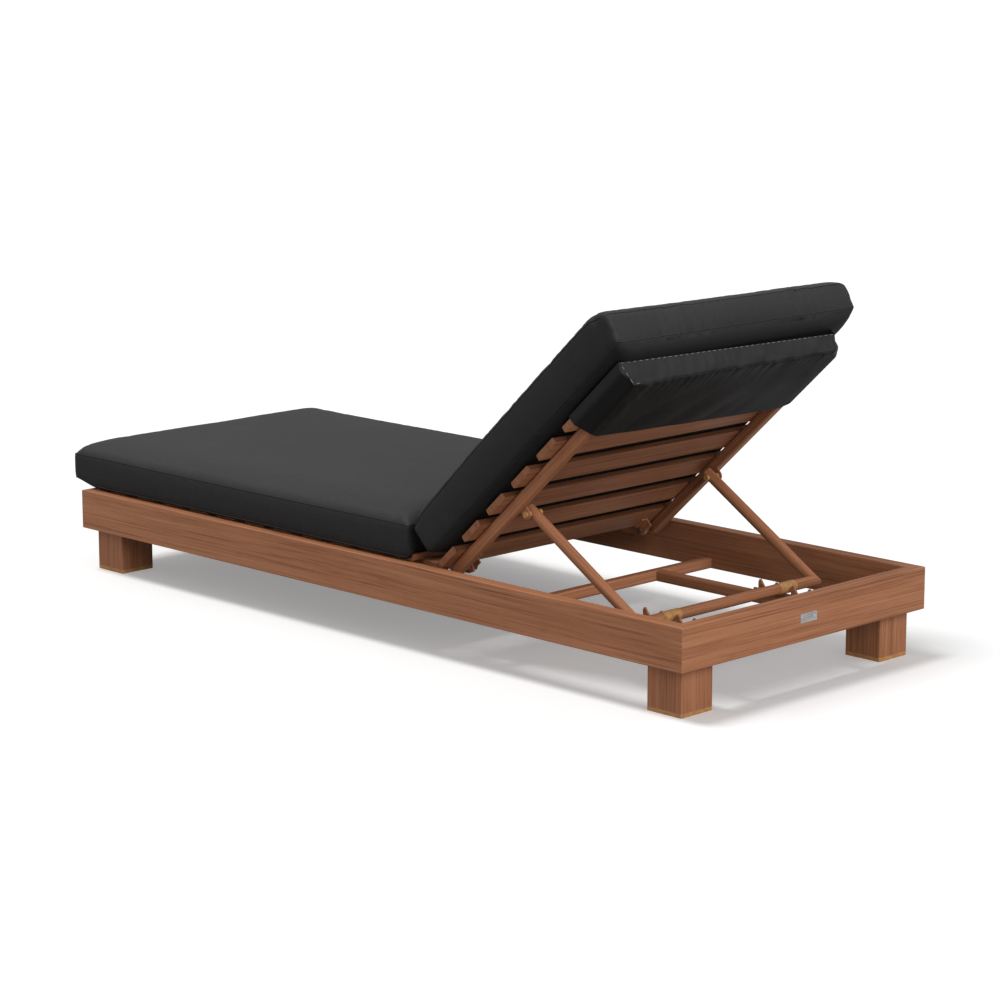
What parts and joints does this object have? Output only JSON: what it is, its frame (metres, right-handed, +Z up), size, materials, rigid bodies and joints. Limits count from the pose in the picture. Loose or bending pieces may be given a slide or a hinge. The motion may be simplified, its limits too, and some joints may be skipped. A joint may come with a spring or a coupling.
{
  "type": "sun lounger",
  "caption": "Low sun lounger with a mitred box frame, slatted seat and reclining slatted backrest on a prop and toothed racks, with a seat cushion and a hooded back cushion.",
  "frame": {"origin": "on the floor, at the middle of the lounger's overall width and length", "axes": "+X to the right seen from the foot end, +Y from the foot end to the head end, +Z up"},
  "size_m": [0.8, 2.0516, 0.8061],
  "materials": {
    "wood_grain": "satin brown wood-grain coating",
    "brackets": "satin brown coating",
    "cushion_fabric": "matte charcoal woven fabric",
    "tan_plastic": "matte golden brown plastic",
    "end_plugs": "matte brown plastic",
    "steel": "satin"
  },
  "bodies": {
    "base": {"side_rail_left": "wood_grain", "side_rail_right": "wood_grain", "head_rail": "wood_grain", "foot_rail": "wood_grain", "leg_head_left": "wood_grain", "leg_head_right": "wood_grain", "leg_foot_left": "wood_grain", "leg_foot_right": "wood_grain", "foot_caps": "tan_plastic", "corner_brackets": "brackets", "leg_bolts": "steel", "seat_rails": "wood_grain", "seat_cross_tubes": "wood_grain", "seat_rail_plugs": "end_plugs", "seat_slat_01": "wood_grain", "seat_slat_02": "wood_grain", "seat_slat_03": "wood_grain", "seat_slat_04": "wood_grain", "seat_slat_05": "wood_grain", "seat_slat_06": "wood_grain", "seat_slat_07": "wood_grain", "seat_slat_08": "wood_grain", "seat_slat_09": "wood_grain", "seat_slat_10": "wood_grain", "seat_slat_11": "wood_grain", "seat_slat_plugs": "end_plugs", "seat_hinge_plates": "brackets", "hinge_pins": "tan_plastic", "rack_cross_tube": "wood_grain", "rack_beams": "wood_grain", "rack_left": "brackets", "rack_right": "brackets", "badge_plate": "steel", "badge_rivets": "steel", "seat_cushion": "cushion_fabric"},
    "backrest": {"back_rail_left": "wood_grain", "back_rail_right": "wood_grain", "back_head_tube": "wood_grain", "back_rail_plugs": "end_plugs", "back_slat_1": "wood_grain", "back_slat_2": "wood_grain", "back_slat_3": "wood_grain", "back_slat_4": "wood_grain", "back_slat_5": "wood_grain", "back_slat_6": "wood_grain", "back_slat_7": "wood_grain", "back_slat_plugs": "end_plugs", "back_hinge_plates": "brackets", "prop_lugs": "brackets", "prop_pins": "tan_plastic", "prop_spacers": "tan_plastic", "back_cushion": "cushion_fabric", "hood_back_panel": "cushion_fabric", "hood_side_panels": "cushion_fabric", "hood_end_band": "cushion_fabric"},
    "prop": {"prop_leg_left": "wood_grain", "prop_leg_right": "wood_grain", "prop_bar": "wood_grain", "prop_end_caps": "end_plugs", "bar_sleeves": "tan_plastic"}
  },
  "joints": [
    {"name": "backrest_tilt", "type": "hinge", "parent": "base", "child": "backrest", "pos_m": [0, 0.28985, 0.187], "axis": [1, 0, 0], "range_deg": [0, 17]},
    {"name": "prop_swing", "type": "hinge", "parent": "backrest", "child": "prop", "pos_m": [0, 0.49472, 0.34199], "axis": [1, 0, 0], "range_deg": [0, 70]}
  ]
}
